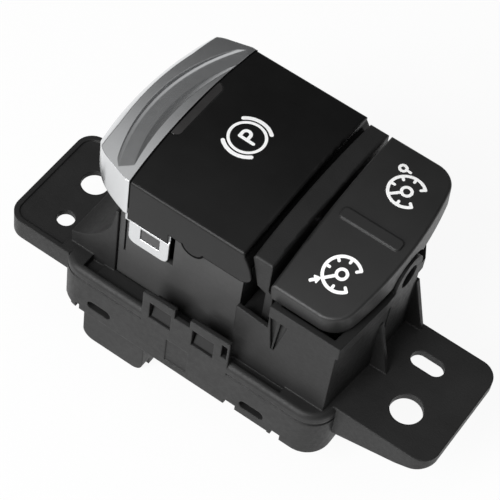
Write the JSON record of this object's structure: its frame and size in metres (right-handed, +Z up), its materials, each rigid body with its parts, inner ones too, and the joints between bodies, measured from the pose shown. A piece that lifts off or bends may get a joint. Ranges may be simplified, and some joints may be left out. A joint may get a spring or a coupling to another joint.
{
  "type": "electric parking brake switch",
  "caption": "Centre console switch unit: pull and push parking brake button with a plated finger lip, beside a latching speed rocker, on a screw-on frame.",
  "frame": {"origin": "middle of the part in plan, on the flat bottom of the lower housing that it rests on", "axes": "+X along the long side from the finger lip to the rocker and the slotted tab, +Y away from the connector side, +Z up out of the console"},
  "size_m": [0.114, 0.0582, 0.0687],
  "materials": {
    "frame_black": "moulded satin black PA-GF, fine spark texture",
    "housing_grey": "moulded matt dark grey",
    "gloss_black": "high gloss black",
    "chrome": "satin chrome plating on plastic",
    "smoked_lens": "smoked clear plastic",
    "carrier_black": "moulded black",
    "steel": "drawn steel",
    "pom_white": "natural acetal",
    "clear_plastic": "clear light guide",
    "board_green": "solder mask on glass fibre board",
    "mat_rubber": "grey silicone",
    "tin": "tinned brass pins",
    "satin_black": "satin black",
    "lamp_white": "lamp package"
  },
  "bodies": {
    "root": {"mounting_frame": "frame_black", "brake_switch_housing": "housing_grey", "brake_button_axle": "steel", "push_plunger_spring": "steel", "pull_plunger_spring": "steel", "rocker_axle": "steel", "detent_track": "pom_white", "lower_housing": "frame_black", "circuit_board": "board_green", "contact_mat": "mat_rubber", "connector_pins": "tin", "brake_light_guide": "clear_plastic", "rocker_light_guide": "clear_plastic", "indicator_lamps": "lamp_white", "housing_screws": "steel", "board_screws": "steel"},
    "brake_button": {"brake_button_cap": "gloss_black", "indicator_lens": "smoked_lens", "chrome_lip": "chrome", "brake_button_carrier": "carrier_black"},
    "push_plunger_body": {"push_plunger": "pom_white"},
    "pull_plunger_body": {"pull_plunger": "pom_white"},
    "cruise_rocker": {"cruise_rocker_cap": "satin_black", "rocker_carrier": "carrier_black", "detent_spring": "steel"},
    "detent_plunger_body": {"detent_plunger": "steel"}
  },
  "joints": [
    {"name": "brake_button_tilt", "type": "hinge", "parent": "root", "child": "brake_button", "pos_m": [-0.00825, 0, 0.0572], "axis": [0, 1, 0], "range_deg": [-3, 6], "stiffness_Nm_per_rad": 1.2},
    {"name": "push_plunger_slide", "type": "slide", "parent": "root", "child": "push_plunger_body", "axis": [0, 0, 1], "range_m": [-0.0006, 0.0011], "deforming": ["push_plunger_spring"]},
    {"name": "pull_plunger_slide", "type": "slide", "parent": "root", "child": "pull_plunger_body", "axis": [0, 0, 1], "range_m": [-0.0011, 0.0006], "deforming": ["pull_plunger_spring"]},
    {"name": "cruise_rocker_tilt", "type": "hinge", "parent": "root", "child": "cruise_rocker", "pos_m": [0.0213, -0.0006, 0.0574], "axis": [1, 0, 0], "range_deg": [-14, 0]},
    {"name": "detent_plunger_slide", "type": "slide", "parent": "cruise_rocker", "child": "detent_plunger_body", "axis": [0, -0.1219, 0.9925], "range_m": [0, 0.0006], "stiffness_N_per_m": 800, "deforming": ["detent_spring"]}
  ],
  "couplings": [
    {"joint": "push_plunger_slide", "follows": "brake_button_tilt", "m_per_rad": 0.0079},
    {"joint": "pull_plunger_slide", "follows": "brake_button_tilt", "m_per_rad": -0.0079}
  ]
}
